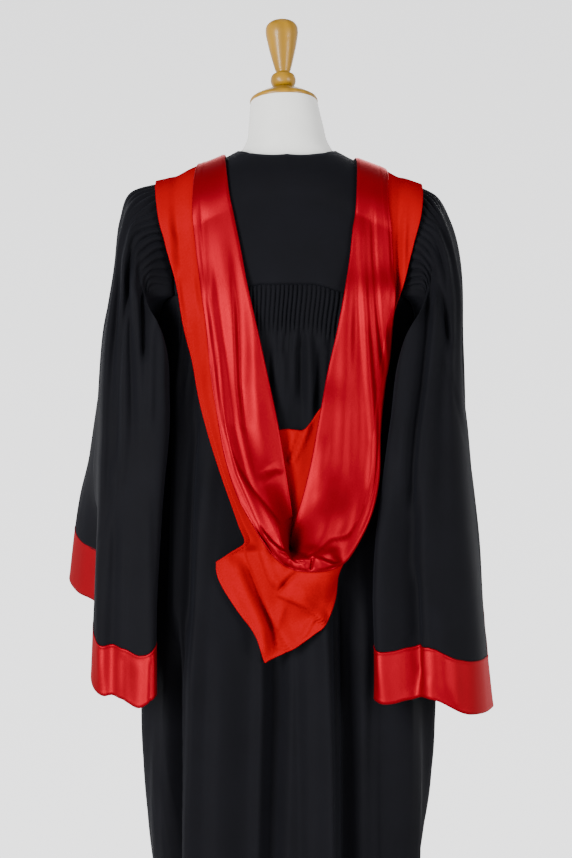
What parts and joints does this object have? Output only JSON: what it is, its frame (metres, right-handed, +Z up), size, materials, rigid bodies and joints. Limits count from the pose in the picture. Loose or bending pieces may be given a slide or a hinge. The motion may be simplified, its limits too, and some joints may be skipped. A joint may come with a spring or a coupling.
{
  "type": "graduation gown with its hood on a limbless dress form",
  "caption": "Black graduation gown with bell sleeves and red satin cuffs, under a red satin-lined hood, on a dress form with a round wooden base.",
  "frame": {"origin": "on the floor, at the centre of the underside of the stand's round base", "axes": "+Z up; the gown's back and the hood's cowl face -Y and its open front faces +Y; +X to the right seen from behind"},
  "size_m": [0.6922, 0.4155, 1.7206],
  "materials": {
    "black_cloth": "matte fine twill",
    "red_cloth": "matte fine wool",
    "red_satin": "glossy satin",
    "form_jersey": "matte jersey cover",
    "varnished_wood": "gloss varnish"
  },
  "bodies": {
    "root": {"yoke": "black_cloth", "back": "black_cloth", "front_left": "black_cloth", "front_right": "black_cloth", "sleeve_left": "black_cloth", "sleeve_right": "black_cloth", "cuff_left": "red_satin", "cuff_right": "red_satin", "hood_back": "red_cloth", "hood_shell": "red_cloth", "hood_lining": "red_satin", "form_body": "form_jersey", "form_cap": "varnished_wood", "form_finial": "varnished_wood", "stand_pole": "varnished_wood", "stand_base": "varnished_wood"}
  },
  "joints": []
}
